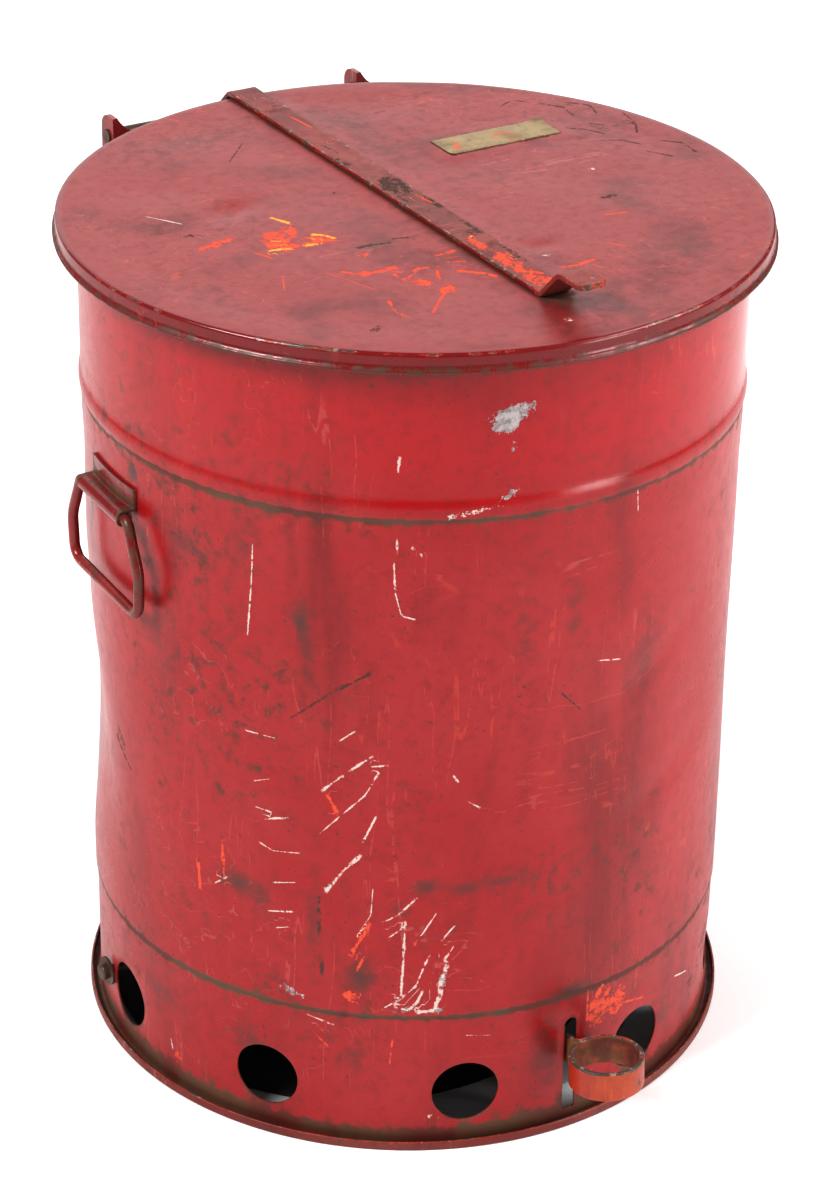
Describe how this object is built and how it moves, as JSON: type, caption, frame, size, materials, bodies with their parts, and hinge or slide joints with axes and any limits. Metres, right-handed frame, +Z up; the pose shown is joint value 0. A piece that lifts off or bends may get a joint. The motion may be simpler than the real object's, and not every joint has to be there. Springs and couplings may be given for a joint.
{
  "type": "foot operated oily waste can",
  "caption": "Round sheet-steel waste can with a vented base, raised floor, self-closing hinged lid, foot pedal with push rod, and two drop bail handles.",
  "frame": {"origin": "centre of the base on the floor", "axes": "+Z up, -Y towards the pedal, +X to the right seen from the pedal side"},
  "size_m": [0.4116, 0.4653, 0.535],
  "materials": {
    "red_paint": "old glossy red enamel on sheet steel, scratched, with grime in the seams",
    "worn_red_paint": "red enamel worn through to orange primer and bare steel on the edges",
    "grimy_red_paint": "red enamel under brown oily grime",
    "grimy_steel": "steel rod and rivets, oily brown",
    "bare_steel": "bare steel, dull",
    "galvanised": "galvanised sheet, stained",
    "brass": "blank brass plate, tarnished and scuffed, no lettering"
  },
  "bodies": {
    "can": {"body_shell": "red_paint", "top_rim_wire": "bare_steel", "container_floor": "galvanised", "base_skirt": "red_paint", "foot_ring": "grimy_red_paint", "hinge_rod": "grimy_steel", "hinge_spacer_left": "grimy_steel", "hinge_spacer_right": "grimy_steel", "hinge_ear_left": "grimy_red_paint", "hinge_ear_right": "grimy_red_paint", "hinge_bracket": "red_paint", "ear_rivets": "grimy_steel", "bracket_rivets": "grimy_steel", "pivot_rod": "grimy_steel", "pivot_washers": "grimy_steel", "pivot_collars": "grimy_steel", "handle_bracket_left": "grimy_red_paint", "handle_bracket_right": "grimy_red_paint"},
    "lid": {"lid_cover": "red_paint", "lid_strap": "worn_red_paint", "lift_crank": "worn_red_paint", "name_plate": "brass"},
    "rod": {"push_rod": "grimy_steel", "rod_washers": "bare_steel", "rod_cotters": "bare_steel"},
    "pedal": {"pedal_lever": "worn_red_paint"},
    "left_bail": {"bail_left": "grimy_red_paint"},
    "right_bail": {"bail_right": "grimy_red_paint"}
  },
  "joints": [
    {"name": "lid_hinge", "type": "hinge", "parent": "can", "child": "lid", "pos_m": [0, 0.2165, 0.4993], "axis": [-1, 0, 0], "range_deg": [0, 60]},
    {"name": "rod_pivot", "type": "hinge", "parent": "lid", "child": "rod", "pos_m": [0, 0.20308, 0.49155], "axis": [-1, 0, 0], "range_deg": [-60, 0]},
    {"name": "pedal_pivot", "type": "hinge", "parent": "can", "child": "pedal", "pos_m": [0, 0.037, 0.035], "axis": [1, 0, 0], "range_deg": [0, 5.34]},
    {"name": "left_bail_swing", "type": "hinge", "parent": "can", "child": "left_bail", "pos_m": [-0.19728, 0.00689, 0.3736], "axis": [0.0349, 0.9994, 0], "range_deg": [-1.5, 180]},
    {"name": "right_bail_swing", "type": "hinge", "parent": "can", "child": "right_bail", "pos_m": [0.19728, -0.00689, 0.3736], "axis": [-0.0349, -0.9994, 0], "range_deg": [-1.5, 180]}
  ],
  "couplings": [
    {"joint": "rod_pivot", "follows": "lid_hinge", "ratio": -1},
    {"joint": "pedal_pivot", "follows": "lid_hinge", "ratio": 0.089}
  ]
}
